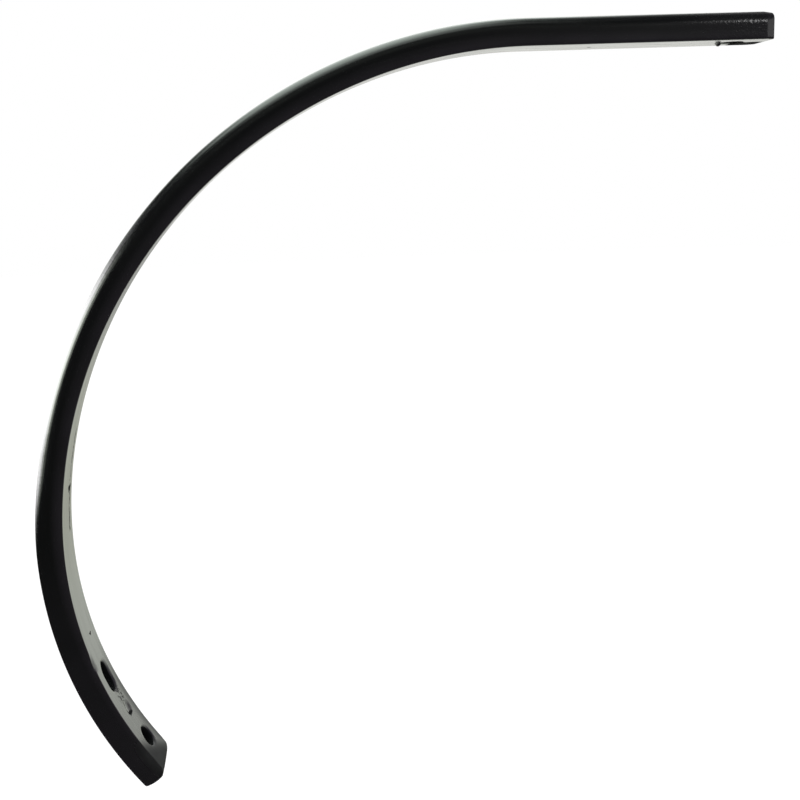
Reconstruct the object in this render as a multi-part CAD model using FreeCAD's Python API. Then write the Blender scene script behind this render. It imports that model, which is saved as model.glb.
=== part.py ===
import FreeCAD, Part
import math
import os

# Cultivator shank: one rolled bar, straight at the top, swept back and round through two bends to its tip.
# Frame: origin at the centre of the top bolt hole at mid thickness, +X towards the top end,
# +Z up out of the back of the bar, Y across its width. Lengths in millimetres, angles in degrees.

Vector = FreeCAD.Vector
ACROSS = Vector(0, 1, 0)
UP = Vector(0, 0, 1)

# Section of the bar: its back is the convex side, its face the concave one that carries the share
bar_width = 35.0
bar_thickness = 17.0
back_edge_radius = 7.5
face_edge_radius = 1.5

# Centre line at mid thickness, from the top end to the tip
top_run = 154.0
upper_bend_radius = 311.5
upper_bend_angle = 83.8
lower_bend_radius = 266.5
lower_bend_angle = 42.7

# Hole for the clamp bolt, through the straight run
top_hole_diameter = 13.5
top_hole_inset = 21.5

# Round hole and slot for the share's bolts, set out along the face from the tip
share_hole_diameter = 13.0
share_hole_inset = 21.5
share_slot_width = 13.0
share_slot_length = 20.5
share_slot_pitch = 50.0

# Rolled-in rims that punching leaves on the face
punched_rim_radius = 2.5

# Ends: the top one tapers on its back and sides, the tip has round corners and a rounded face edge
top_taper_length = 5.5
top_taper_depth = 2.0
tip_corner_radius = 5.5
tip_face_radius = 4.5


def stretches():
    """Length and bend radius of each stretch of the centre line, with no radius where it is straight."""
    upper = math.radians(upper_bend_angle) * upper_bend_radius
    lower = math.radians(lower_bend_angle) * lower_bend_radius
    return [(top_run, None), (upper, upper_bend_radius), (lower, lower_bend_radius)]


def bar_length():
    """Length of the whole centre line."""
    return sum(length for length, radius in stretches())


def turned(direction, heading):
    """A direction of the straight run, carried round to where the bar has turned by heading."""
    return FreeCAD.Rotation(ACROSS, -heading).multVec(direction)


def station(distance):
    """Centre point, direction along the bar and direction out of its back, so far from the top end."""
    point = Vector(top_hole_inset, 0, 0)
    heading = 0.0
    left = distance
    for length, radius in stretches():
        step = min(left, length)
        if radius is None:
            point = point + turned(Vector(-1, 0, 0), heading) * step
        else:
            centre = point - turned(UP, heading) * radius
            heading += math.degrees(step / radius)
            point = centre + turned(UP, heading) * radius
        left -= step
    return point, turned(Vector(-1, 0, 0), heading), turned(UP, heading)


def section(distance):
    """Cross-section of the bar as a face: a rectangle whose corners are arcs, two large and two small."""
    point, along, out = station(distance)
    corners = [
        (1, 1, back_edge_radius),
        (1, -1, face_edge_radius),
        (-1, -1, face_edge_radius),
        (-1, 1, back_edge_radius),
    ]
    arcs = []
    for side, level, radius in corners:
        to_side = ACROSS * side
        to_flat = out * level
        centre = point + to_side * (bar_width / 2 - radius) + to_flat * (bar_thickness / 2 - radius)
        on_side = centre + to_side * radius
        on_flat = centre + to_flat * radius
        middle = centre + (to_side + to_flat) * (radius * math.sqrt(0.5))
        arcs.append((on_flat, middle, on_side) if side == level else (on_side, middle, on_flat))
    edges = []
    for (start, middle, end), (following, _, _) in zip(arcs, arcs[1:] + arcs[:1]):
        edges.append(Part.Arc(start, middle, end).toShape())
        edges.append(Part.LineSegment(end, following).toShape())
    return Part.Face(Part.Wire(edges))


def bent_bar():
    """The section pushed along the straight run, then turned about the centre of each bend."""
    point, along, out = station(0)
    bar = section(0).extrude(along * top_run)
    distance = top_run
    for length, radius in stretches()[1:]:
        point, along, out = station(distance)
        bend = section(distance).revolve(point - out * radius, -ACROSS, math.degrees(length / radius))
        bar = bar.fuse(bend)
        distance += length
    return bar.removeSplitter()


def from_tip(face_length):
    """Distance from the top end of a point set out so far from the tip along the face of the lower bend."""
    face_bend_radius = lower_bend_radius - bar_thickness / 2
    return bar_length() - face_length * lower_bend_radius / face_bend_radius


def punch(distance, width, length):
    """A punch square to the bar, reaching through it: two half cylinders and the straight between them."""
    point, along, out = station(distance)
    start = point - out * bar_thickness
    depth = 2 * bar_thickness
    run = along * (length - width)
    tool = Part.makeCylinder(width / 2, depth, start - run / 2, out)
    if run.Length > 0:
        side = ACROSS * width
        corner = start - run / 2 - side / 2
        outline = Part.makePolygon([corner, corner + run, corner + run + side, corner + side, corner])
        tool = tool.fuse(Part.Face(outline).extrude(out * depth))
        tool = tool.fuse(Part.makeCylinder(width / 2, depth, start + run / 2, out))
    return tool.removeSplitter()


def rim(bar, distance, width, length):
    """The edges round the mouth of a punched hole, on the face of the bar."""
    point, along, out = station(distance)
    half_run = (length - width) / 2
    tolerance = 0.01
    found = []
    for edge in bar.Edges:
        on_rim = True
        for sample in edge.discretize(5):
            offset = sample - point
            beyond = max(abs(offset.dot(along)) - half_run, 0)
            reach = math.hypot(beyond, offset.dot(ACROSS))
            on_rim = on_rim and offset.dot(out) < 0 and abs(reach - width / 2) < tolerance
        if on_rim:
            found.append(edge)
    return found


def punched(bar, distance, width, length):
    """The bar with one hole, whose rim is drawn in by the punch on the face side."""
    bar = bar.cut(punch(distance, width, length))
    return bar.makeFillet(punched_rim_radius, rim(bar, distance, width, length))


def corner_cutter(start, end, corner, sweep, tangent=None):
    """A cutter that takes an edge off from start to end: straight, or by an arc with a tangent at start."""
    chord = end - start
    side = Part.LineSegment(start, end)
    if tangent:
        swing = chord.getAngle(tangent)
        outward = (tangent * chord.Length - chord * math.cos(swing)).normalize()
        side = Part.Arc(start, start + chord / 2 + outward * (chord.Length / 2 * math.tan(swing / 2)), end)
    clear = corner * 2 - (start + end) / 2
    edges = [side.toShape(), Part.LineSegment(end, clear).toShape(), Part.LineSegment(clear, start).toShape()]
    cutter = Part.Face(Part.Wire(edges)).extrude(sweep)
    cutter.translate(sweep * -0.5)
    return cutter


def end_cutters():
    """Cutters for both ends of the bar."""
    cutters = []
    through_width = ACROSS * (2 * bar_width)
    top, along, out = station(0)
    back = top + out * (bar_thickness / 2)
    start = back + along * top_taper_length
    cutters.append(corner_cutter(start, back - out * top_taper_depth, back, through_width))
    for side in (ACROSS, -ACROSS):
        edge = top + side * (bar_width / 2)
        start = edge + along * top_taper_length
        cutters.append(corner_cutter(start, edge - side * top_taper_depth, edge, out * (2 * bar_thickness)))
    tip, along, out = station(bar_length())
    for side in (ACROSS, -ACROSS):
        edge = tip + side * (bar_width / 2)
        start = edge - along * tip_corner_radius
        end = edge - side * tip_corner_radius
        cutters.append(corner_cutter(start, end, edge, out * (2 * bar_thickness), along))
    face = tip - out * (bar_thickness / 2)
    point, heading, normal = station(from_tip(tip_face_radius))
    start = point - normal * (bar_thickness / 2)
    cutters.append(corner_cutter(start, face + out * tip_face_radius, face, through_width, heading))
    return cutters


def shank():
    """The finished shank, as one solid."""
    bar = bent_bar()
    bar = punched(bar, top_hole_inset, top_hole_diameter, top_hole_diameter)
    bar = punched(bar, from_tip(share_hole_inset), share_hole_diameter, share_hole_diameter)
    bar = punched(bar, from_tip(share_hole_inset + share_slot_pitch), share_slot_width, share_slot_length)
    for cutter in end_cutters():
        bar = bar.cut(cutter)
    return bar


os.makedirs("parts", exist_ok=True)
shank().exportStep("parts/shank.step")
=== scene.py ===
import math

import bpy
import numpy as np
from bpy.props import FloatProperty, FloatVectorProperty, PointerProperty
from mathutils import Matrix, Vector


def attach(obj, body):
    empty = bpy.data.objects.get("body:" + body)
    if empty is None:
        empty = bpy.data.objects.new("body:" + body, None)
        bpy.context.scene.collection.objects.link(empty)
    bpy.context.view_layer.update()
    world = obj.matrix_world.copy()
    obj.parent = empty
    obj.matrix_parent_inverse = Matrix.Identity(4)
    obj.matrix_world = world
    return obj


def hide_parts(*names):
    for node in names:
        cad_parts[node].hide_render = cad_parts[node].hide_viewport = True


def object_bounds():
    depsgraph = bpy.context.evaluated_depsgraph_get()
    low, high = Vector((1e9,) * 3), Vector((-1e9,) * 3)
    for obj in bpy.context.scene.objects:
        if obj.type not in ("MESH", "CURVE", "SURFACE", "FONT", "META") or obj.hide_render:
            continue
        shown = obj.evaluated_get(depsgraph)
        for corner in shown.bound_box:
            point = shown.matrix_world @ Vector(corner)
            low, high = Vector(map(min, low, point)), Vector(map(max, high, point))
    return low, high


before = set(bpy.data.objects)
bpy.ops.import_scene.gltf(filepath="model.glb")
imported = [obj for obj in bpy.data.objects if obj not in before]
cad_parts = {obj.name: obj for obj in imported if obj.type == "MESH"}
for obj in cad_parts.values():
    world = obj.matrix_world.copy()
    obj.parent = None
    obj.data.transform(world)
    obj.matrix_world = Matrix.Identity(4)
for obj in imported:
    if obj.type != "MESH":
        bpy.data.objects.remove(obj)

bl_info = {
    "name": "Cultivator Shank",
    "version": (1, 0, 0),
    "blender": (4, 5, 0),
    "location": "3D View > Sidebar > Shank",
    "description": "Builds a bent cultivator shank in black enamel, and the studio it stands in",
    "category": "Add Mesh",
}

CAD_BOX = [list(corner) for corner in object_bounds()]
MM = 0.001

# Steps of the bar's mesh: round its edges, up its sides, beside, across and along the patches that hold its
# holes, and down the rims of the holes
FACE_EDGE_STEPS = 4
BACK_EDGE_STEPS = 12
SIDE_STEPS = 4
MARGIN_STEPS = 3
PATCH_COLUMNS = 24
PATCH_ROWS = 28
RIM_STEPS = 7
BACK_RIM_STEPS = 3

# The patches in millimetres: half widths on the face and on the back, and half lengths along the bar
FACE_PATCH = 14.6
BACK_PATCH = 9.0
TOP_HOLE_REACH = 15.0
SLOT_REACH = 17.5
SHARE_HOLE_REACH = 14.0

# Rows of the mesh in millimetres: those at the top end and at the tip, the one after the taper, the step
# between rows on each stretch, and the length of the stretch before the slot that holds the nick
TOP_ROWS = [0, 0.06, 0.2, 0.45, 0.8, 1.4, 2.3, 3.4, 4.5]
TIP_ROWS = [0, 0.015, 0.06, 0.14, 0.25, 0.45, 0.7, 1.1, 1.6, 2.2, 2.9, 3.7, 4.5, 5.5, 6.2]
AFTER_TAPER = 0.5
TOP_STEP = 1.2
BEND_STEP = 2.2
NICK_STEP = 1.0
SHARE_STEP = 0.9
NICK_STRETCH = 22.0

# Where rings of nodes lie, as shares of the way: patch to rim, rim to back, back to patch, edge to middle
FACE_RINGS = (0.25, 0.5, 0.72, 0.88)
WALL_RINGS = (0.33, 0.67, 1.0)
BACK_RINGS = (0.3, 0.65)
END_RINGS = (0.03, 0.08, 0.3, 0.6)

# What shearing and punching have done to the bar, in millimetres
TAPER_DEPTH = 2.0
FAR_TAPER_DEPTH = 3.5
BACK_TAPER_DEPTH = 1.0
TOP_ROUND = 0.6
TIP_BACK_ROUND = 0.7
NEAR_CORNER = 2.0
NEAR_RIM = 1.6
TOP_HOLE_FAR_RIM = 3.5
SLOT_FAR_RIM = 4.0
SHARE_HOLE_FAR_RIM = 3.4
RIM_DEPTH = 2.6
BACK_RIM = 0.5
DOME_LENGTH = 8.0
DOME_IN_DEPTH = 1.7
DOME_IN_WIDTH = 0.5
ROLL_LENGTH = 13.0
ROLL_DEPTH = 0.9

# The power by which the far side's taper grows, and how sharp the top end's edges are, from 0 for the bar's
# own to 1 for the tip's
FAR_TAPER_POWER = 1.3
TOP_EDGE_WORN = 0.5
# How soon a rim widens towards the far side, and the near side's share of its depth
RIM_LEAN = 1.25
NEAR_RIM_SHARE = 0.75

# What wear and work have done, in millimetres: sharp edges near the tip, a nick, a round mark and a drip.
# NICK_ACROSS_SHARE is the share of the nick's depth by which it goes inwards
EDGE_WORN_START = 232.0
EDGE_WORN_END = 165.0
BACK_EDGE_AT_TIP = 1.0
FACE_EDGE_AT_TIP = 0.5
SHARPEST_EDGE = 0.05
NICK_START = 100.0
NICK_END = 86.0
NICK_RISE = 7.0
NICK_FALL = 1.2
NICK_DEPTH = 0.9
NICK_SPREAD = 4.0
NICK_ACROSS_SHARE = 0.6
MARK_FROM_TIP = 47.5
MARK_ACROSS = 2.0
MARK_RADIUS = 6.0
MARK_DEPTH = 1.0
DRIP_DISTANCE = 28.9
DRIP_ACROSS = 0.5
DRIP_RADIUS = 2.6
DRIP_HEIGHT = 2.4
FACE_SKIN = 2.0

# Where a hole's dull enamel, a painted shade, begins and is complete, in millimetres: in from the face, and
# out from the wall
HOLLOW_DEPTHS = (0.2, 1.0)
HOLLOW_REACHES = (2.0, 0.5)
# How far short of the back it ends, and how deep below the face a dull spot goes, in millimetres
HOLLOW_SHORT_OF_BACK = 0.05
SPOT_SKIN = 0.6
# From which mean dullness of its corners on a quad or triangle is dull
DULL_SHARE = 0.5
# The radius in millimetres that stands for a straight run
STRAIGHT = 1.0e7


def linear(code):
    """An sRGB hex colour as linear red, green, blue and alpha."""
    parts = [int(code[i:i + 2], 16) / 255 for i in (1, 3, 5)]
    return [c / 12.92 if c <= 0.04045 else ((c + 0.055) / 1.055) ** 2.4 for c in parts] + [1.0]


def length_property(name, description, default):
    """A length in millimetres, kept in metres."""
    return FloatProperty(
        name=name, description=description, default=default * MM, unit="LENGTH", precision=4)


def colour_property(name, description, default):
    """A colour given as an sRGB hex value."""
    return FloatVectorProperty(
        name=name, description=description, default=linear(default), subtype="COLOR", size=4)


class ShankSizes(bpy.types.PropertyGroup):
    """Sizes of the bar."""

    width: length_property("Width", "Width of the bar", 35.0)
    thickness: length_property("Thickness", "Thickness of the bar", 17.0)
    back_edge: length_property("Back edge", "Radius of the two edges of the back", 7.5)
    face_edge: length_property("Face edge", "Radius of the two edges of the face", 1.5)
    top_run: length_property("Straight run", "Length of the straight run", 154.0)
    upper_bend: length_property("Upper bend", "Radius of the upper bend at mid thickness", 311.5)
    lower_bend: length_property("Lower bend", "Radius of the lower bend at mid thickness", 266.5)
    upper_turn: FloatProperty(
        name="Upper turn", description="Angle of the upper bend",
        default=math.radians(83.8), subtype="ANGLE")
    lower_turn: FloatProperty(
        name="Lower turn", description="Angle of the lower bend",
        default=math.radians(42.7), subtype="ANGLE")
    top_inset: length_property("Top hole inset", "From the top end to the clamp bolt's hole", 21.5)
    top_hole: length_property("Top hole", "Diameter of the clamp bolt's hole", 13.5)
    share_inset: length_property(
        "Share hole inset", "From the tip to the share's round hole, along the face", 21.5)
    share_pitch: length_property("Share pitch", "From the round hole to the slot, along the face", 50.0)
    share_hole: length_property("Share hole", "Diameter of the round hole and width of the slot", 13.0)
    slot_length: length_property("Slot length", "Length of the slot from end to end", 20.5)
    end_taper: length_property("End taper", "Length of the taper of the top end", 5.5)
    tip_corner: length_property("Tip corner", "Radius of the tip's corners", 5.5)
    tip_face: length_property("Tip face edge", "Radius of the tip's edge on the face", 4.5)


class ShankFinish(bpy.types.PropertyGroup):
    """Colours of the enamel and of the studio."""

    enamel: colour_property("Enamel", "Colour of the black enamel", "#090A0B")
    # This lighter colour is also a painted reflection on the face and up the sides to their middle
    enamel_thin_and_sheen: colour_property("Thin enamel", "Colour where the enamel lies thin", "#1D1B1F")
    floor: colour_property("Floor", "Colour of the studio floor", "#F5F5F5")


class Line:
    """The bar's centre line at mid thickness, in millimetres: a straight run and two arcs."""

    def __init__(self, sizes):
        self.inset = sizes.top_inset / MM
        self.run = sizes.top_run / MM
        self.radii = (sizes.upper_bend / MM, sizes.lower_bend / MM)
        self.turns = (sizes.upper_turn, sizes.lower_turn)
        self.joint = self.run + self.radii[0] * self.turns[0]
        self.length = self.joint + self.radii[1] * self.turns[1]

    def at(self, distance):
        """Points and headings, straight along the run and then round each arc.

        An arc turns by its length over its radius. Its points follow the sine and cosine of the heading.
        """
        distance = np.asarray(distance, float)
        upper, lower = self.radii
        start = self.inset - self.run
        first = np.clip(distance - self.run, 0, self.joint - self.run) / upper
        second = np.maximum(distance - self.joint, 0) / lower
        heading = first + second
        x = np.where(distance < self.run, self.inset - distance, start) - upper * np.sin(first)
        z = upper * (np.cos(first) - 1)
        turn = self.turns[0]
        x = x - lower * (np.sin(turn + second) - math.sin(turn))
        z = z + lower * (np.cos(turn + second) - math.cos(turn))
        return np.stack([x, z], -1), heading

    def place(self, distance, across, level):
        """Points in space: out of the back by level from the centre line, and across the width."""
        point, heading = self.at(distance)
        x = point[..., 0] - np.sin(heading) * level
        z = point[..., 1] + np.cos(heading) * level
        return np.stack(np.broadcast_arrays(x, across, z), -1)

    def bend_at(self, distance):
        """The radius at mid thickness there, or a very large one on the straight run."""
        if distance < self.run:
            return STRAIGHT
        return self.radii[0] if distance < self.joint else self.radii[1]


def quarter(count):
    """Sines and one minus cosines of even steps through a right angle, without the first."""
    angle = np.linspace(0, math.pi / 2, count + 1)[1:]
    return np.sin(angle), 1 - np.cos(angle)


def eased(share):
    """A share from 0 to 1, eased at both ends: three times its square less twice its cube."""
    return share * share * (3 - 2 * share)


class Section:
    """The closed loop of nodes round the bar: over its face, far side, back and near side."""

    def __init__(self, sizes):
        self.half_width = sizes.width / MM / 2
        self.half_depth = sizes.thickness / MM / 2
        self.back_edge = sizes.back_edge / MM
        self.face_edge = sizes.face_edge / MM
        face_flat = self.half_width - self.face_edge
        back_flat = self.half_width - self.back_edge
        patch = np.linspace(-1, 1, PATCH_COLUMNS + 1)
        margin = np.linspace(1, 0, MARGIN_STEPS + 1)[:-1]
        face = np.r_[-FACE_PATCH - margin * (face_flat - FACE_PATCH), patch * FACE_PATCH]
        face = np.r_[face, FACE_PATCH + margin[::-1] * (face_flat - FACE_PATCH)] / face_flat
        back = np.r_[-1, patch * BACK_PATCH / back_flat, 1]
        sine, versed = quarter(FACE_EDGE_STEPS)
        big_sine, big_versed = quarter(BACK_EDGE_STEPS)
        rise = np.linspace(0, 1, SIDE_STEPS + 1)[1:]
        zero, one = np.zeros_like, np.ones_like
        # Each node: share of the flat, face edge and back edge radii across; then the same for the level,
        # which runs from 0 at the face to 1 at the back
        half = [
            (one(sine), sine - 1, zero(sine), zero(sine), versed, zero(sine)),
            (one(rise), zero(rise), zero(rise), rise, 1 - rise, -rise),
            (one(big_sine), zero(big_sine), -big_versed, one(big_sine), zero(big_sine), big_sine - 1),
        ]
        mirror = np.array([-1, -1, -1, 1, 1, 1])[:, None]
        up = np.concatenate([np.stack(part) for part in half], 1)
        down = up[:, ::-1][:, 1:] * mirror
        face_part = np.stack([face, -face, zero(face), zero(face), zero(face), zero(face)])
        over = back[::-1][1:]
        back_part = np.stack([over, zero(over), -over, one(over), zero(over), zero(over)])
        self.nodes = np.concatenate([face_part, up, back_part, down], 1)
        self.face_columns = MARGIN_STEPS + np.arange(PATCH_COLUMNS + 1)
        first_back = len(face) + up.shape[1]
        self.back_columns = (first_back + np.arange(PATCH_COLUMNS + 1))[::-1]

    def loop(self, near, far, face, back, inset, worn):
        """Across and level of each node of each row: a rectangle with corners of sine and cosine."""
        width, face_x, back_x, height, face_z, back_z = self.nodes
        face_edge = self.face_edge + (FACE_EDGE_AT_TIP - self.face_edge) * worn
        back_edge = self.back_edge + (BACK_EDGE_AT_TIP - self.back_edge) * worn
        face_edge = np.maximum(face_edge - inset, SHARPEST_EDGE)[:, None]
        back_edge = np.maximum(back_edge - inset, SHARPEST_EDGE)[:, None]
        side = np.where(width > 0, far[:, None], near[:, None]) - inset[:, None]
        across = width * side + face_x * face_edge + back_x * back_edge
        low = (face + inset)[:, None]
        high = (back - inset)[:, None]
        level = low + height * (high - low) + face_z * face_edge + back_z * back_edge
        return across, level


def rounding(gap, radius):
    """How far an edge of that radius stands back, at a distance from the end: an arc's versed sine."""
    left = np.clip(radius - gap, 0, radius)
    return radius - np.sqrt(np.maximum(radius ** 2 - left ** 2, 0))


class Hole:
    """A punched hole: its place, half run and radius, its patch's half length and its far rim's width."""

    def __init__(self, distance, half_run, radius, reach, far_rim):
        self.distance = distance
        self.half_run = half_run
        self.radius = radius
        self.reach = reach
        self.far_rim = far_rim
        self.first_row = None


def holes_of(sizes, line):
    """The clamp bolt's hole, the share's slot and its round hole, set out from the ends of the bar."""
    half_depth = sizes.thickness / MM / 2
    stretch = line.radii[1] / (line.radii[1] - half_depth)
    share = sizes.share_hole / MM / 2
    half_run = sizes.slot_length / MM / 2 - share
    lower = line.length - sizes.share_inset / MM * stretch
    upper = lower - sizes.share_pitch / MM * stretch
    return [
        Hole(line.inset, 0.0, sizes.top_hole / MM / 2, TOP_HOLE_REACH, TOP_HOLE_FAR_RIM),
        Hole(upper, half_run, share, SLOT_REACH, SLOT_FAR_RIM),
        Hole(lower, 0.0, share, SHARE_HOLE_REACH, SHARE_HOLE_FAR_RIM),
    ]


def even(start, end, step):
    """Even steps of about that size, without the first."""
    return np.linspace(start, end, max(1, round((end - start) / step)) + 1)[1:]


def rows_of(line, holes, sizes):
    """Distances of the rows: close together at the ends and round the holes, and even between.

    It also tells each hole at which row its patch begins.
    """
    taper = sizes.end_taper / MM
    top, slot, share = holes
    parts = [np.array(TOP_ROWS + [taper, taper + AFTER_TAPER])]
    for hole, step in ((top, TOP_STEP), (slot, NICK_STEP), (share, SHARE_STEP)):
        start = hole.distance - hole.reach
        if hole is slot:
            parts.append(even(parts[-1][-1], start - NICK_STRETCH, BEND_STEP))
        parts.append(even(parts[-1][-1], start, step))
        hole.first_row = sum(len(part) for part in parts) - 1
        parts.append(np.linspace(start, hole.distance + hole.reach, PATCH_ROWS + 1)[1:])
    parts.append(even(parts[-1][-1], line.length - TIP_ROWS[-1], SHARE_STEP))
    parts.append(line.length - np.array(TIP_ROWS[-2::-1]))
    return np.concatenate(parts)


def bar_grid(sizes, line, section, distances):
    """Across and level of every node: the section, tapered at the top end and rounded at the tip."""
    taper = np.clip(1 - distances / (sizes.end_taper / MM), 0, 1)
    far_taper = FAR_TAPER_DEPTH * taper ** FAR_TAPER_POWER
    left = line.length - distances
    inset = rounding(distances, TOP_ROUND)
    near = section.half_width - TAPER_DEPTH * taper - rounding(left, NEAR_CORNER)
    far = section.half_width - far_taper - rounding(left, sizes.tip_corner / MM)
    roll = ROLL_DEPTH * np.clip(1 - left / ROLL_LENGTH, 0, 1) ** 2
    face = -section.half_depth + rounding(left, sizes.tip_face / MM) + roll
    back = section.half_depth - BACK_TAPER_DEPTH * taper - rounding(left, TIP_BACK_ROUND)
    worn = eased(np.clip((EDGE_WORN_START - left) / (EDGE_WORN_START - EDGE_WORN_END), 0, 1))
    worn = np.maximum(worn, TOP_EDGE_WORN * taper)
    return section.loop(near, far, face, back, inset, worn)


def hole_rings(hole, line, face_rim, back_rim):
    """Rings of nodes from the face's patch to the back's, as distance, across and level.

    They are worked out ahead along the bar, across it and out of its back from the hole's middle. Each ring
    is the run of the slot widened by the radius plus a gap. The gap follows a quarter ellipse down the rim,
    is zero down the wall and opens again at the back, and further out each ring blends into the patch. The
    rim gets wider and deeper towards the far side.
    """
    bend = line.bend_at(hole.distance)
    turn = (face_rim[:, 0] - hole.distance) / bend
    ahead = (bend + face_rim[:, 2]) * np.sin(turn)
    core = np.clip(ahead, -hole.half_run, hole.half_run)
    way = np.stack([ahead - core, face_rim[:, 1]], -1)
    way /= np.linalg.norm(way, axis=1)[:, None]
    lean = eased(0.5 + 0.5 * np.clip(way[:, 1] * RIM_LEAN, -1, 1))
    rim = NEAR_RIM + (hole.far_rim - NEAR_RIM) * lean
    depth = RIM_DEPTH * (NEAR_RIM_SHARE + (1 - NEAR_RIM_SHARE) * lean)
    face_radius = bend + face_rim[:, 2].mean()
    back_radius = bend + back_rim[:, 2].mean()

    def on_arc(ahead, radius):
        """How far out an arc about the bend's centre lies, by Pythagoras, less the bend's radius."""
        return np.sqrt(radius ** 2 - ahead ** 2) - bend

    def ring(gap, drop, radius):
        """The slot's run widened by the hole's radius and the gap, dropped from an arc."""
        reach = hole.radius + gap
        ahead = core + way[:, 0] * reach
        return np.stack([ahead, way[:, 1] * reach, on_arc(ahead, radius) + drop], -1)

    start = np.stack([ahead, face_rim[:, 1], on_arc(ahead, face_radius)], -1)
    back_turn = (back_rim[:, 0] - hole.distance) / bend
    back_ahead = back_radius * np.sin(back_turn)
    end = np.stack([back_ahead, back_rim[:, 1], on_arc(back_ahead, back_radius)], -1)
    mouth = ring(rim, 0, face_radius)
    rings = [start + (mouth - start) * share for share in FACE_RINGS]
    for spread in rings:
        spread[:, 2] = on_arc(spread[:, 0], face_radius)
    rings.append(mouth)
    rings += [ring(rim * (1 - s), depth * v, face_radius) for s, v in zip(*quarter(RIM_STEPS))]
    throat = rings[-1]
    way_out = ring(0 * rim, -BACK_RIM, back_radius)
    rings += [throat + (way_out - throat) * share for share in WALL_RINGS]
    rings += [ring(BACK_RIM * v, BACK_RIM * (s - 1), back_radius) for s, v in zip(*quarter(BACK_RIM_STEPS))]
    last = rings[-1]
    for share in BACK_RINGS:
        spread = last + (end - last) * share
        spread[:, 2] = on_arc(spread[:, 0], back_radius)
        rings.append(spread)
    ahead, across, out = np.moveaxis(np.stack(rings), -1, 0)
    distance = hole.distance + bend * np.arctan2(ahead, bend + out)
    level = np.sqrt((bend + out) ** 2 + ahead ** 2) - bend
    return np.stack([distance, across, level], -1)


def border(rows, columns):
    """Rows and columns of the nodes round a patch's border, in order."""
    first, last = rows[0], rows[-1]
    low, high = columns[0], columns[-1]
    i = np.r_[np.full(len(columns), first), rows[1:], np.full(len(columns) - 1, last), rows[::-1][1:-1]]
    k = np.r_[columns, np.full(len(rows) - 1, high), columns[::-1][1:], np.full(len(rows) - 2, low)]
    return i, k


def strips(index):
    """Quads between each ring of nodes and the next."""
    here, there = index[:-1], index[1:]
    return np.stack([here, np.roll(here, -1, 1), np.roll(there, -1, 1), there], -1).reshape(-1, 4)


def bar_shape(sizes):
    """Nodes of the whole bar as distance, across and level, and its faces.

    The bar is one grid, row by row and round the section. Each hole takes the place of a patch of it on the
    face and one on the back, joined by rings, and each end is closed by rings about its middle.
    """
    line, section = Line(sizes), Section(sizes)
    holes = holes_of(sizes, line)
    distances = rows_of(line, holes, sizes)
    across, level = bar_grid(sizes, line, section, distances)
    count, around = across.shape
    nodes = [np.stack([np.repeat(distances, around), across.ravel(), level.ravel()], -1)]
    index = np.arange(count * around).reshape(count, around)
    total = index.size
    open_cells = np.ones((count - 1, around), bool)
    quads, triangles = [], []
    for hole in holes:
        rows = np.arange(hole.first_row, hole.first_row + PATCH_ROWS + 1)
        edges = []
        for columns in (section.face_columns, section.back_columns):
            cells = np.minimum(columns[:-1], columns[1:])
            open_cells[np.ix_(rows[:-1], cells)] = False
            i, k = border(rows, columns)
            edges.append(index[i, k])
        rings = hole_rings(hole, line, nodes[0][edges[0]], nodes[0][edges[1]])
        ring_index = total + np.arange(rings.shape[0] * rings.shape[1]).reshape(rings.shape[:2])
        total += ring_index.size
        nodes.append(rings.reshape(-1, 3))
        quads.append(strips(np.concatenate([edges[0][None], ring_index, edges[1][None]]))[:, ::-1])
    grid = strips(index).reshape(count - 1, around, 4)
    quads.append(grid[open_cells][:, ::-1])
    for row, order in ((0, 1), (count - 1, -1)):
        rim = nodes[0][index[row]]
        centre = np.array([rim[0, 0], 0.0, (rim[:, 2].max() + rim[:, 2].min()) / 2])
        inner = [rim + (centre - rim) * share for share in END_RINGS]
        ring_index = total + np.arange(len(inner) * around).reshape(-1, around)
        total += ring_index.size
        nodes += inner + [centre[None]]
        fan = np.stack([ring_index[-1], np.roll(ring_index[-1], -1), np.full(around, total)], -1)
        total += 1
        quads.append(strips(np.concatenate([index[row][None], ring_index]))[:, ::order])
        triangles.append(fan[:, ::order])
    return line, holes, np.concatenate(nodes), np.concatenate(quads), np.concatenate(triangles)


def with_marks(line, nodes, half_width, half_depth):
    """The nodes with the marks of use and work: a nick, a round mark, a drip of enamel and a domed tip.

    The nick lies in the face's near edge and fades evenly from it. The round mark is a parabola of the
    distance from its middle, and the drip at the top hole is half a ball, stretched. They are put on the
    level, and the nick on the across too. The tip bulges along the bar by parabolas of the level and the
    across, which fade out over DOME_LENGTH.
    """
    distance, across, level = nodes.T.copy()
    from_tip = line.length - distance
    edge = np.hypot(across + half_width, level + half_depth)
    fall = np.clip((from_tip - NICK_END) / NICK_FALL, 0, 1)
    rise = np.clip((NICK_START - from_tip) / NICK_RISE, 0, 1)
    nick = NICK_DEPTH * (fall * rise) * np.clip(1 - edge / NICK_SPREAD, 0, 1)
    level = level + nick
    across = across + nick * NICK_ACROSS_SHARE
    reach = np.hypot(from_tip - MARK_FROM_TIP, across - MARK_ACROSS) / MARK_RADIUS
    mark = MARK_DEPTH * np.clip(1 - reach ** 2, 0, 1)
    reach = np.hypot(distance - DRIP_DISTANCE, across - DRIP_ACROSS) / DRIP_RADIUS
    drip = DRIP_HEIGHT * np.sqrt(np.clip(1 - reach ** 2, 0, 1))
    level = level + (mark - drip) * (level < FACE_SKIN - half_depth)
    in_depth = DOME_IN_DEPTH * (1 - np.minimum(level / half_depth, 1) ** 2)
    in_width = DOME_IN_WIDTH * (1 - (across / half_width) ** 2) * (1 - level / half_depth) / 2
    fade = np.clip(1 - from_tip / DOME_LENGTH, 0, 1) ** 2
    return np.stack([distance + (in_depth + in_width) * fade, across, level], -1)


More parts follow.
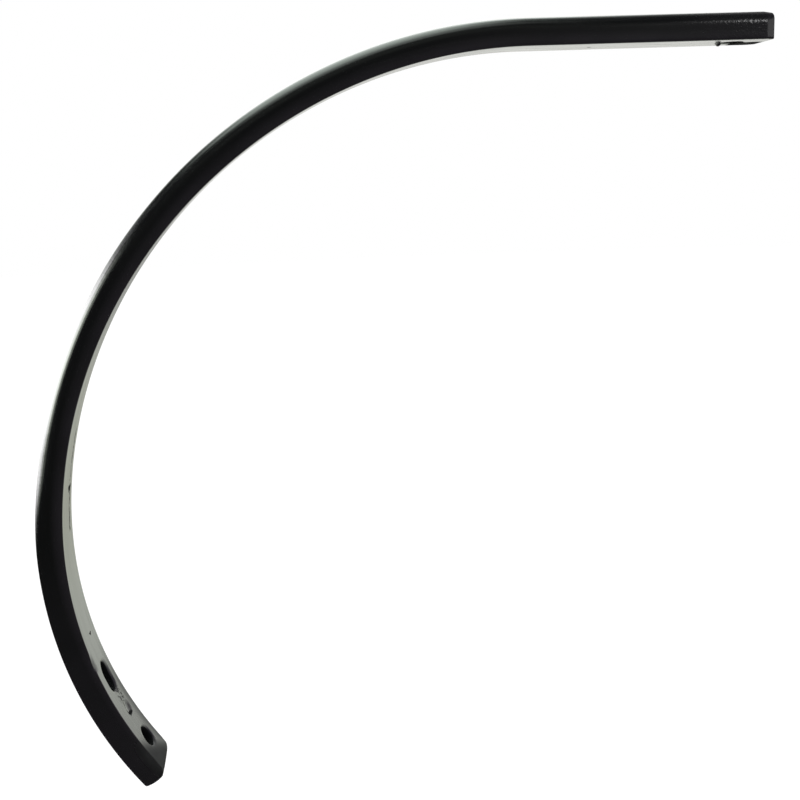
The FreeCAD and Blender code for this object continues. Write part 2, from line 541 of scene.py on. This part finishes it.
def hollow(nodes, holes, half_depth):
    """How far each node lies inside a hole: 0 outside and 1 on its wall, from its reach about the axis."""
    start, full = HOLLOW_DEPTHS
    outer, inner = HOLLOW_REACHES
    depth = np.clip((nodes[:, 2] + half_depth - start) / (full - start), 0, 1)
    inside = np.zeros(len(nodes))
    for hole in holes:
        along = nodes[:, 0] - hole.distance
        along = along - np.clip(along, -hole.half_run, hole.half_run)
        reach = np.hypot(along, nodes[:, 1])
        inside = np.maximum(inside, np.clip((hole.radius + outer - reach) / (outer - inner), 0, 1))
    return inside * depth * (nodes[:, 2] < half_depth - HOLLOW_SHORT_OF_BACK)


# Dull spots on the face, in millimetres: distance from the top end, across, half length and half width
SPOTS = [
    (599.5, 7.0, 2.3, 5.0),
    (701.5, 2.5, 1.2, 2.8),
    (112.5, 2.0, 1.2, 3.5),
    (574.0, 8.5, 0.9, 2.4),
    (624.0, 9.0, 0.9, 2.0),
    (7.0, 11.0, 12.5, 13.5),
    (763.2, -2.4, 2.2, 1.7),
    (765.5, 1.5, 1.4, 4.0),
]


def spotted(nodes, half_depth):
    """How far each node of the face lies in a dull spot, by its reach about the middle: half at the rim."""
    inside = np.zeros(len(nodes))
    for distance, across, half_length, half_width in SPOTS:
        reach = np.hypot((nodes[:, 0] - distance) / half_length, (nodes[:, 1] - across) / half_width)
        inside = np.maximum(inside, np.clip(1 + DULL_SHARE - reach, 0, 1))
    return inside * (nodes[:, 2] < SPOT_SKIN - half_depth)


def make_piece(name, points, faces, smooth):
    """A mesh object from arrays of points and faces, at the origin."""
    mesh = bpy.data.meshes.new(name)
    mesh.from_pydata(points.tolist(), [], faces)
    mesh.polygons.foreach_set("use_smooth", np.full(len(mesh.polygons), smooth))
    mesh.validate()
    piece = bpy.data.objects.new(name, mesh)
    bpy.context.scene.collection.objects.link(piece)
    return piece


def add(tree, kind, inputs=None, **settings):
    """A node of that kind, with its settings, and its inputs either set or linked."""
    node = tree.nodes.new(kind)
    for key, value in settings.items():
        setattr(node, key, value)
    for key, value in (inputs or {}).items():
        if isinstance(value, bpy.types.NodeSocket):
            tree.links.new(value, node.inputs[key])
        else:
            node.inputs[key].default_value = value
    return node


def new_tree(owner):
    """The owner's node tree, emptied."""
    owner.use_nodes = True
    owner.node_tree.nodes.clear()
    return owner.node_tree


# The enamel's patterns in millimetres: its thick and thin patches, its peel, and the steel's rolled grain
# and streaks. The real grain is finer than the render can show, so it is drawn this coarse
PATCH_SIZE = 30.0
PEEL_SIZE = 6.0
GRAIN_SIZE = 1.6
STREAK_SIZE = 1.8
# How many times longer than wide the streaks are
STREAK_STRETCH = 25.0
# The height in millimetres of a full step of relief, and the shares of it that the patterns add
RELIEF = 0.12
PEEL_SHARE = 0.35
STREAK_SHARE = 0.10
GRAIN_AT_TOP = 1.6
GRAIN_BELOW = 0.12
# The stretch in millimetres from the top end on which the grain calms down
GRAIN_STRETCH = (10.0, 70.0)
# The levels in millimetres between which the painted reflection on the face fades out up the side
FACE_LEVELS = (-7.5, -0.5)
# The stretches in millimetres on which the enamel gets thin towards the ends, and how thin it gets
THIN_TOP = (0.0, 100.0)
THIN_AT_TOP = 0.35
THIN_TIP = (630.0, 800.0)
THIN_AT_TIP = 0.75
# The dotted scratch, in millimetres: where it starts and ends, how far across it lies and its half width
SCRATCH = (560.0, 630.0, 8.0, 1.8)
# The scuffed patch between the share's holes, in millimetres: its middle along and across, and half sizes
SCUFF = (750.5, 2.5, 9.5, 6.5)
# Where it begins and is complete, as shares of its half sizes, and how dull it gets
SCUFF_FADE = (1.1, 0.7)
SCUFF_DULL = 0.7
# The rubbed far side of the face, in millimetres: where it begins and is complete, and how dull it gets
RUBBED_ACROSS = (4.0, 15.0)
RUBBED_ALONG = (705.0, 745.0)
RUBBED_DULL = 0.35
# The worn tip, in millimetres: where it begins and is complete, how far that slants, and how dull it gets
TIP_WORN = (783.0, 803.0)
TIP_SLANT = 0.6
TIP_DULL = 0.75
# Roughness between the streaks and on them, and of dull enamel, and how much blacker that is
GLOSSY_ROUGHNESS = (0.11, 0.25)
DULL_ROUGHNESS = 0.95
DULL_BLACK = 0.6


def metres(lengths):
    """Lengths in millimetres, as metres."""
    return [length * MM for length in lengths]


def black_enamel(finish):
    """Black enamel, dipped over hot rolled spring steel.

    It is nearly black and mirrors like glass: little when seen square on, almost all at a glancing angle.
    The rolled skin under it shows as long streaks and a fine grain, coarser at the sheared top end, that
    break up the highlights. It is painted a little lighter, in random patches, on the face and up the
    sides to their middle, which is a painted reflection, and near the ends, where it lies thin. It is dull
    along a dotted scratch on the face, in a scuffed patch between the share's holes, on the rubbed far side
    of the face from the slot on, and on the worn tip.
    """
    material = bpy.data.materials.new("black_enamel")
    tree = new_tree(material)
    place = add(tree, "ShaderNodeAttribute", attribute_name="bar_place").outputs["Vector"]
    parts = add(tree, "ShaderNodeSeparateXYZ", {0: place}).outputs
    along, aside, level = parts["X"], parts["Y"], parts["Z"]
    drawn = add(tree, "ShaderNodeVectorMath", {
        0: place, 1: (1 / STREAK_STRETCH, 1.0, 1.0)}, operation="MULTIPLY").outputs[0]
    broad = add(tree, "ShaderNodeTexNoise", {
        "Vector": place, "Scale": 1 / (PATCH_SIZE * MM), "Detail": 3.0}).outputs["Fac"]
    peel = add(tree, "ShaderNodeTexNoise", {
        "Vector": place, "Scale": 1 / (PEEL_SIZE * MM), "Detail": 2.0}).outputs["Fac"]
    grain = add(tree, "ShaderNodeTexNoise", {
        "Vector": place, "Scale": 1 / (GRAIN_SIZE * MM), "Detail": 2.5}).outputs["Fac"]
    streak = add(tree, "ShaderNodeTexNoise", {
        "Vector": drawn, "Scale": 1 / (STREAK_SIZE * MM), "Detail": 3.0}).outputs["Fac"]

    # Painted reflection: lighter on the face, fading up the sides to their middle. Thin enamel: lighter
    # towards both ends. All in random patches
    start, end = metres(FACE_LEVELS)
    on_face = add(tree, "ShaderNodeMapRange", {
        "Value": level, "From Min": start, "From Max": end, "To Min": 1.0, "To Max": 0.0}).outputs[0]
    start, end = metres(THIN_TIP)
    tip = add(tree, "ShaderNodeMapRange", {
        "Value": along, "From Min": start, "From Max": end, "To Min": 0.0, "To Max": THIN_AT_TIP}).outputs[0]
    start, end = metres(THIN_TOP)
    top = add(tree, "ShaderNodeMapRange", {
        "Value": along, "From Min": start, "From Max": end, "To Min": THIN_AT_TOP, "To Max": 0.0}).outputs[0]
    ends = add(tree, "ShaderNodeMath", {0: tip, 1: top}, operation="MAXIMUM").outputs[0]
    thin_and_sheen = add(tree, "ShaderNodeMath", {0: on_face, 1: ends}, operation="MAXIMUM").outputs[0]
    patchy = add(tree, "ShaderNodeMapRange", {
        "Value": broad, "From Min": 0.35, "From Max": 0.65, "To Min": 0.75, "To Max": 1.1}).outputs[0]
    thin_and_sheen = add(tree, "ShaderNodeMath", {0: thin_and_sheen, 1: patchy}, operation="MULTIPLY").outputs[0]
    colour = add(tree, "ShaderNodeMix", {
        0: thin_and_sheen, 6: finish.enamel, 7: finish.enamel_thin_and_sheen}, data_type="RGBA").outputs[2]

    # Dull along the scratch, in dots
    start, end, across, half_width = metres(SCRATCH)
    beside = add(tree, "ShaderNodeMath", {
        0: aside, 1: across, 2: half_width}, operation="COMPARE").outputs[0]
    within = add(tree, "ShaderNodeMath", {
        0: along, 1: (start + end) / 2, 2: (end - start) / 2}, operation="COMPARE").outputs[0]
    dots = add(tree, "ShaderNodeMapRange", {"Value": grain, "From Min": 0.46, "From Max": 0.54}).outputs[0]
    scratch = add(tree, "ShaderNodeMath", {0: beside, 1: within}, operation="MULTIPLY").outputs[0]
    scratch = add(tree, "ShaderNodeMath", {0: scratch, 1: dots}, operation="MULTIPLY").outputs[0]

    # Dull in the scuffed patch, an oval of dots
    middle, across, half_length, half_width = metres(SCUFF)
    scuff = add(tree, "ShaderNodeVectorMath", {
        0: place, 1: (middle, across, 0)}, operation="SUBTRACT").outputs[0]
    scuff = add(tree, "ShaderNodeVectorMath", {
        0: scuff, 1: (1 / half_length, 1 / half_width, 0)}, operation="MULTIPLY").outputs[0]
    scuff = add(tree, "ShaderNodeVectorMath", {0: scuff}, operation="LENGTH").outputs["Value"]
    scuff = add(tree, "ShaderNodeMapRange", {
        "Value": scuff, "From Min": SCUFF_FADE[0], "From Max": SCUFF_FADE[1]}).outputs[0]
    blotch = add(tree, "ShaderNodeMapRange", {
        "Value": grain, "From Min": 0.46, "From Max": 0.58, "To Max": SCUFF_DULL}).outputs[0]
    scuff = add(tree, "ShaderNodeMath", {0: scuff, 1: blotch}, operation="MULTIPLY").outputs[0]
    scuff = add(tree, "ShaderNodeMath", {0: scuff, 1: on_face}, operation="MULTIPLY").outputs[0]

    # Dull on the worn tip, up to a slanting line
    start, end = metres(TIP_WORN)
    slant = add(tree, "ShaderNodeMath", {
        0: aside, 1: -TIP_SLANT, 2: along}, operation="MULTIPLY_ADD").outputs[0]
    worn_tip = add(tree, "ShaderNodeMapRange", {
        "Value": slant, "From Min": start, "From Max": end, "To Max": TIP_DULL},
        interpolation_type="SMOOTHSTEP").outputs[0]
    worn_tip = add(tree, "ShaderNodeMath", {0: worn_tip, 1: on_face}, operation="MULTIPLY").outputs[0]

    # Dull on the rubbed far side of the face
    start, end = metres(RUBBED_ACROSS)
    rubbed = add(tree, "ShaderNodeMapRange", {
        "Value": aside, "From Min": start, "From Max": end, "To Max": RUBBED_DULL}).outputs[0]
    start, end = metres(RUBBED_ALONG)
    where = add(tree, "ShaderNodeMapRange", {"Value": along, "From Min": start, "From Max": end}).outputs[0]
    rubbed = add(tree, "ShaderNodeMath", {0: rubbed, 1: where}, operation="MULTIPLY").outputs[0]
    rubbed = add(tree, "ShaderNodeMath", {0: rubbed, 1: on_face}, operation="MULTIPLY").outputs[0]

    # Where it is dull it is rougher and blacker
    dull = scratch
    for patch in (worn_tip, scuff, rubbed):
        dull = add(tree, "ShaderNodeMath", {0: dull, 1: patch}, operation="MAXIMUM").outputs[0]
    smoothest, roughest = GLOSSY_ROUGHNESS
    rough = add(tree, "ShaderNodeMapRange", {
        "Value": streak, "From Min": 0.3, "From Max": 0.7,
        "To Min": smoothest, "To Max": roughest}).outputs[0]
    rough = add(tree, "ShaderNodeMix", {0: dull, 2: rough, 3: DULL_ROUGHNESS}).outputs[0]
    black = add(tree, "ShaderNodeMath", {0: dull, 1: DULL_BLACK}, operation="MULTIPLY").outputs[0]
    colour = add(tree, "ShaderNodeMix", {0: black, 6: colour, 7: finish.enamel}, data_type="RGBA").outputs[2]

    # Relief: the grain, the streaks and the peel added up
    start, end = metres(GRAIN_STRETCH)
    coarse = add(tree, "ShaderNodeMapRange", {
        "Value": along, "From Min": start, "From Max": end,
        "To Min": GRAIN_AT_TOP, "To Max": GRAIN_BELOW}).outputs[0]
    grain = add(tree, "ShaderNodeMath", {0: grain, 1: coarse}, operation="MULTIPLY").outputs[0]
    height = add(tree, "ShaderNodeMath", {
        0: streak, 1: STREAK_SHARE, 2: grain}, operation="MULTIPLY_ADD").outputs[0]
    height = add(tree, "ShaderNodeMath", {
        0: peel, 1: PEEL_SHARE, 2: height}, operation="MULTIPLY_ADD").outputs[0]
    bump = add(tree, "ShaderNodeBump", {
        "Height": height, "Strength": 1.0, "Distance": RELIEF * MM}).outputs[0]
    shader = add(tree, "ShaderNodeBsdfPrincipled", {
        "Base Color": colour, "Roughness": rough, "IOR": 1.5, "Normal": bump}).outputs[0]
    add(tree, "ShaderNodeOutputMaterial", {"Surface": shader})
    return material


def dull_enamel(finish):
    """The same enamel, matt and reflecting a tenth as much: inside the holes, as painted shade, and in dull
    spots on the face.
    """
    material = bpy.data.materials.new("dull_enamel")
    tree = new_tree(material)
    shader = add(tree, "ShaderNodeBsdfPrincipled", {
        "Base Color": finish.enamel, "Roughness": 0.9, "Specular IOR Level": 0.1}).outputs[0]
    add(tree, "ShaderNodeOutputMaterial", {"Surface": shader})
    return material


class SHANK_OT_bar(bpy.types.Operator):
    """Build the bent bar with its punched holes, in place of the plain one"""

    bl_idname = "shank.bar"
    bl_label = "Bent bar"

    def execute(self, context):
        sizes, finish = context.scene.shank_sizes, context.scene.shank_finish
        half_width, half_depth = sizes.width / MM / 2, sizes.thickness / MM / 2
        line, holes, nodes, quads, triangles = bar_shape(sizes)
        # The holes' walls and the dull spots take the dull enamel; inside the holes it is painted shade
        dull = np.maximum(hollow(nodes, holes, half_depth), spotted(nodes, half_depth))
        nodes = with_marks(line, nodes, half_width, half_depth)
        points = line.place(nodes[:, 0], nodes[:, 1], nodes[:, 2]) * MM
        used = np.unique(np.concatenate([quads.ravel(), triangles.ravel()]))
        renumber = np.full(len(nodes), -1)
        renumber[used] = np.arange(len(used))
        faces = renumber[quads].tolist() + renumber[triangles].tolist()
        bar = make_piece("shank_bar", points[used], faces, True)
        place = bar.data.attributes.new("bar_place", "FLOAT_VECTOR", "POINT")
        place.data.foreach_set("vector", (nodes[used] * MM).astype(np.float32).ravel())
        bar.data.materials.append(black_enamel(finish))
        bar.data.materials.append(dull_enamel(finish))
        share = np.r_[dull[quads].mean(1), dull[triangles].mean(1)]
        bar.data.polygons.foreach_set("material_index", (share > DULL_SHARE).astype(np.int32))
        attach(bar, "root")
        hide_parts("shank")
        return {"FINISHED"}


def floor_points(radius, rings, around):
    """Points and faces of a flat disc: circles about a middle point, whose radii grow by squares."""
    angle = np.linspace(0, 2 * math.pi, around, endpoint=False)
    reach = radius * np.linspace(0, 1, rings + 1)[1:] ** 2
    x, y = np.outer(reach, np.cos(angle)), np.outer(reach, np.sin(angle))
    index = np.arange(rings * around).reshape(rings, around)
    points = np.stack([x, y, 0 * x], -1).reshape(-1, 3)
    quads = strips(index)[:, ::-1]
    centre = np.full(around, len(points))
    fan = np.stack([index[0], np.roll(index[0], -1), centre], -1)
    return np.concatenate([points, [[0, 0, 0]]]), quads.tolist() + fan.tolist()


# The studio as the enamel mirrors it, laid over near darkness. Each light: azimuth from +Y towards +X,
# elevation, inner and outer half angle in degrees, radiance and colour. Later ones lie over earlier ones.
STUDIO_DARK = 0.06
STUDIO = {
    "wall_behind": (24, -6, 22, 33, 1.0, "#FFFFFA"),
    "dark_above_wall": (31, 46, 19, 30, 0.27, "#FFFFFF"),
    "veil_left": (-32, 11, 3, 29, 0.90, "#F8FFF4"),
    "above_front": (-152, 68, 1, 28, 2.1, "#F4FFF6"),
    "above": (-65, 73, 1, 32, 4.9, "#F2FFF5"),
    "above_behind": (-10, 50, 1, 28, 4.6, "#F4FFF7"),
    "high_wall": (0, 33, 1, 26, 3.0, "#FAFFFA"),
    "front_right": (150, 9, 4, 24, 0.20, "#FFFFFF"),
    "front": (185, 33, 1, 27, 0.24, "#F6FFF4"),
    "window_front": (-121, 8, 1, 16, 4.5, "#F4FFEE"),
    "window_near": (-102, 11, 1, 18, 18.0, "#FAFFF6"),
    "window_middle": (-81, 11, 1, 21, 18.0, "#FFFFFF"),
    "window_far": (-63, 8, 1, 20, 12.0, "#FFFFFF"),
    "window_end": (-48, 4, 3, 17, 7.0, "#FFFFFF"),
    "window_edge": (-32, -1, 3, 13, 4.1, "#FFFFFF"),
    "window_wall": (-16, -3, 8, 13, 1.9, "#FFFFFF"),
    "right": (84, 17, 15, 45, 0.30, "#EDE8FF"),
    "card_right": (118, 6, 12, 24, 0.95, "#FFFFFF"),
}
# Lamps: middle, width and height in metres, way it faces and radiance. Only the enamel mirrors the strip
# lamp, and only matt surfaces take the key lamp's light
STRIP_LAMP = ((0.288, -0.433, 0.227), 0.11, 0.13, (-0.42, 0.78, -0.36), 9.0)
KEY_LAMP = ((-0.6, -0.9, 1.6), 1.2, 1.2, (0.2, 0.45, -0.9), 1.5)
# Strength of the plain light that matt surfaces get from all round, and of the floor's own glow
PLAIN_LIGHT = 0.85
FLOOR_GLOW = 0.26


def studio_world():
    """A world: white to the camera, plain to matt surfaces, and a dark studio with lights to the enamel.

    Each light of the studio is a round spot on the sky. It is full inside its inner angle, gone outside its
    outer one, and eased between them by the cosine of the angle from its middle.
    """
    world = bpy.data.worlds.new("studio")
    bpy.context.scene.world = world
    tree = new_tree(world)
    way = add(tree, "ShaderNodeTexCoord").outputs["Generated"]
    colour = [STUDIO_DARK, STUDIO_DARK, STUDIO_DARK, 1.0]
    for azimuth, elevation, inner, outer, radiance, tint in STUDIO.values():
        around, up = math.radians(azimuth), math.radians(elevation)
        unit = (math.sin(around) * math.cos(up), math.cos(around) * math.cos(up), math.sin(up))
        dot = add(tree, "ShaderNodeVectorMath", {0: way, 1: unit}, operation="DOT_PRODUCT").outputs["Value"]
        start, end = math.cos(math.radians(outer)), math.cos(math.radians(inner))
        mask = add(tree, "ShaderNodeMapRange", {
            "Value": dot, "From Min": start, "From Max": end}, interpolation_type="SMOOTHSTEP").outputs[0]
        light = [part * radiance for part in linear(tint)]
        colour = add(tree, "ShaderNodeMix", {0: mask, 6: colour, 7: light}, data_type="RGBA").outputs[2]
    rays = add(tree, "ShaderNodeLightPath").outputs
    glossy = add(tree, "ShaderNodeBackground", {"Color": colour, "Strength": 1.0}).outputs[0]
    plain = add(tree, "ShaderNodeBackground", {"Color": (1, 1, 1, 1), "Strength": PLAIN_LIGHT}).outputs[0]
    white = add(tree, "ShaderNodeBackground", {"Color": (1, 1, 1, 1), "Strength": 1.0}).outputs[0]
    lit = add(tree, "ShaderNodeMixShader", {0: rays["Is Glossy Ray"], 1: plain, 2: glossy}).outputs[0]
    seen = add(tree, "ShaderNodeMixShader", {0: rays["Is Camera Ray"], 1: lit, 2: white}).outputs[0]
    add(tree, "ShaderNodeOutputWorld", {"Surface": seen})
    world.cycles.sampling_method = "NONE"


# The floor as the enamel mirrors it, in metres from the origin. It is lit only to the right of one edge and
# behind another, its light grows towards the right, and it ends on the left
LIT_FROM_X = (-0.58, -0.42)
LIT_FROM_Y = (0.15, 0.45)
LIGHT_GROWS_X = (-0.37, -0.10)
LIGHT_GROWS = (0.66, 1.4)
FLOOR_DARK = 0.04
FLOOR_ENDS_X = (-0.70, -0.85)
# Its tint on the left, on the right and far behind, and where one turns into the next
LEFT_TINT = "#FBFFEA"
RIGHT_TINT = "#FAFFF4"
FAR_TINT = "#F9FAF4"
LEFT_TO_RIGHT_X = (-0.30, -0.18)
NEAR_TO_FAR_Y = (0.9, 2.6)
# The floor's size in metres, the rings and spokes of its mesh, and how far below the bar it lies
FLOOR_RADIUS = 6.0
FLOOR_RINGS = 24
FLOOR_SPOKES = 64
FLOOR_DROP = 0.12


def studio_floor(finish):
    """Matt white paint. It glows a little, so that it meets the white behind.

    The enamel mirrors only its part behind the bar, pale yellow green on the left and paler on the right
    and far behind. On the left, where the floor ends, it mirrors what is behind the floor.
    """
    material = bpy.data.materials.new("studio_floor")
    tree = new_tree(material)
    rays = add(tree, "ShaderNodeLightPath").outputs
    diffuse = add(tree, "ShaderNodeBsdfDiffuse", {"Color": finish.floor}).outputs[0]
    glow = add(tree, "ShaderNodeEmission", {"Color": (1, 1, 1, 1), "Strength": FLOOR_GLOW}).outputs[0]
    both = add(tree, "ShaderNodeAddShader", {0: diffuse, 1: glow}).outputs[0]
    place = add(tree, "ShaderNodeTexCoord").outputs["Object"]
    place = add(tree, "ShaderNodeSeparateXYZ", {0: place}).outputs
    side = add(tree, "ShaderNodeMapRange", {
        "Value": place["X"], "From Min": LIT_FROM_X[0], "From Max": LIT_FROM_X[1]},
        interpolation_type="SMOOTHSTEP").outputs[0]
    behind = add(tree, "ShaderNodeMapRange", {
        "Value": place["Y"], "From Min": LIT_FROM_Y[0], "From Max": LIT_FROM_Y[1]},
        interpolation_type="SMOOTHSTEP").outputs[0]
    lit = add(tree, "ShaderNodeMath", {0: side, 1: behind}, operation="MULTIPLY").outputs[0]
    level = add(tree, "ShaderNodeMapRange", {
        "Value": place["X"], "From Min": LIGHT_GROWS_X[0], "From Max": LIGHT_GROWS_X[1],
        "To Min": LIGHT_GROWS[0], "To Max": LIGHT_GROWS[1]}, interpolation_type="SMOOTHSTEP").outputs[0]
    strength = add(tree, "ShaderNodeMath", {
        0: lit, 1: level, 2: FLOOR_DARK}, operation="MULTIPLY_ADD").outputs[0]
    far = add(tree, "ShaderNodeMapRange", {
        "Value": place["Y"], "From Min": NEAR_TO_FAR_Y[0], "From Max": NEAR_TO_FAR_Y[1]}).outputs[0]
    right = add(tree, "ShaderNodeMapRange", {
        "Value": place["X"], "From Min": LEFT_TO_RIGHT_X[0], "From Max": LEFT_TO_RIGHT_X[1]}).outputs[0]
    tint = add(tree, "ShaderNodeMix", {
        0: right, 6: linear(LEFT_TINT), 7: linear(RIGHT_TINT)}, data_type="RGBA").outputs[2]
    tint = add(tree, "ShaderNodeMix", {0: far, 6: tint, 7: linear(FAR_TINT)}, data_type="RGBA").outputs[2]
    mirrored = add(tree, "ShaderNodeEmission", {"Color": tint, "Strength": strength}).outputs[0]
    through = add(tree, "ShaderNodeBsdfTransparent").outputs[0]
    left = add(tree, "ShaderNodeMapRange", {
        "Value": place["X"], "From Min": FLOOR_ENDS_X[0], "From Max": FLOOR_ENDS_X[1]}).outputs[0]
    mirrored = add(tree, "ShaderNodeMixShader", {0: left, 1: mirrored, 2: through}).outputs[0]
    seen = add(tree, "ShaderNodeMixShader", {0: rays["Is Camera Ray"], 1: diffuse, 2: both}).outputs[0]
    mixed = add(tree, "ShaderNodeMixShader", {0: rays["Is Glossy Ray"], 1: seen, 2: mirrored}).outputs[0]
    add(tree, "ShaderNodeOutputMaterial", {"Surface": mixed})
    return material


def make_lamp(name, place, width, height, facing, radiance):
    """A rectangular lamp that the camera doesn't see. Its power is its radiance times pi times its area."""
    lamp = bpy.data.lights.new(name, "AREA")
    lamp.shape = "RECTANGLE"
    lamp.size, lamp.size_y = width, height
    lamp.energy = radiance * math.pi * width * height
    holder = bpy.data.objects.new(name, lamp)
    bpy.context.scene.collection.objects.link(holder)
    holder.location = place
    holder.rotation_euler = Vector(facing).to_track_quat("-Z", "Y").to_euler()
    holder.visible_camera = False
    return holder


# The camera, fitted to the outline of the bar: its place in metres, its turn in degrees, its lens in
# millimetres, its shift as a share of the picture, and how far it sees in metres
CAMERA_PLACE = (-0.2958268, -0.7102153, -0.0775479)
CAMERA_TURN = (78.36544, 2.25560, -6.72400)
CAMERA_LENS = 50.75
CAMERA_SHIFT = (-0.000625, 0.000625)
CAMERA_SIGHT = 50


class SHANK_OT_stage(bpy.types.Operator):
    """Build the floor, the lamps, the world and the camera"""

    bl_idname = "shank.stage"
    bl_label = "Studio"

    def execute(self, context):
        scene, finish = context.scene, context.scene.shank_finish
        low, high = np.array(CAD_BOX)
        middle = (low + high) / 2
        points, faces = floor_points(FLOOR_RADIUS, FLOOR_RINGS, FLOOR_SPOKES)
        points += [middle[0], middle[1], low[2] - FLOOR_DROP]
        floor = make_piece("studio_floor", points, faces, False)
        floor.data.materials.append(studio_floor(finish))
        make_lamp("strip_lamp", *STRIP_LAMP).visible_diffuse = False
        make_lamp("key_lamp", *KEY_LAMP).visible_glossy = False
        studio_world()
        camera = bpy.data.cameras.new("camera")
        camera.lens = CAMERA_LENS
        camera.shift_x, camera.shift_y = CAMERA_SHIFT
        camera.clip_end = CAMERA_SIGHT
        eye = bpy.data.objects.new("camera", camera)
        scene.collection.objects.link(eye)
        eye.location = CAMERA_PLACE
        eye.rotation_euler = [math.radians(angle) for angle in CAMERA_TURN]
        scene.camera = eye
        scene.view_settings.view_transform = "Standard"
        return {"FINISHED"}


class SHANK_PT_panel(bpy.types.Panel):
    """The shank's sizes and colours, and a button for each part of the scene"""

    bl_idname = "SHANK_PT_panel"
    bl_label = "Cultivator shank"
    bl_space_type = "VIEW_3D"
    bl_region_type = "UI"
    bl_category = "Shank"

    def draw(self, context):
        for group in (context.scene.shank_sizes, context.scene.shank_finish):
            column = self.layout.column()
            for name in group.__annotations__:
                column.prop(group, name)
        for operator in (SHANK_OT_bar, SHANK_OT_stage):
            self.layout.operator(operator.bl_idname)


CLASSES = (ShankSizes, ShankFinish, SHANK_OT_bar, SHANK_OT_stage, SHANK_PT_panel)


def register():
    """Registers the classes and hangs their settings on the scene."""
    for cls in CLASSES:
        bpy.utils.register_class(cls)
    bpy.types.Scene.shank_sizes = PointerProperty(type=ShankSizes)
    bpy.types.Scene.shank_finish = PointerProperty(type=ShankFinish)


def unregister():
    """Takes the settings and the classes off again."""
    del bpy.types.Scene.shank_finish, bpy.types.Scene.shank_sizes
    for cls in reversed(CLASSES):
        bpy.utils.unregister_class(cls)


def main():
    register()
    bpy.ops.shank.bar()
    bpy.ops.shank.stage()


if __name__ == "__main__":
    main()
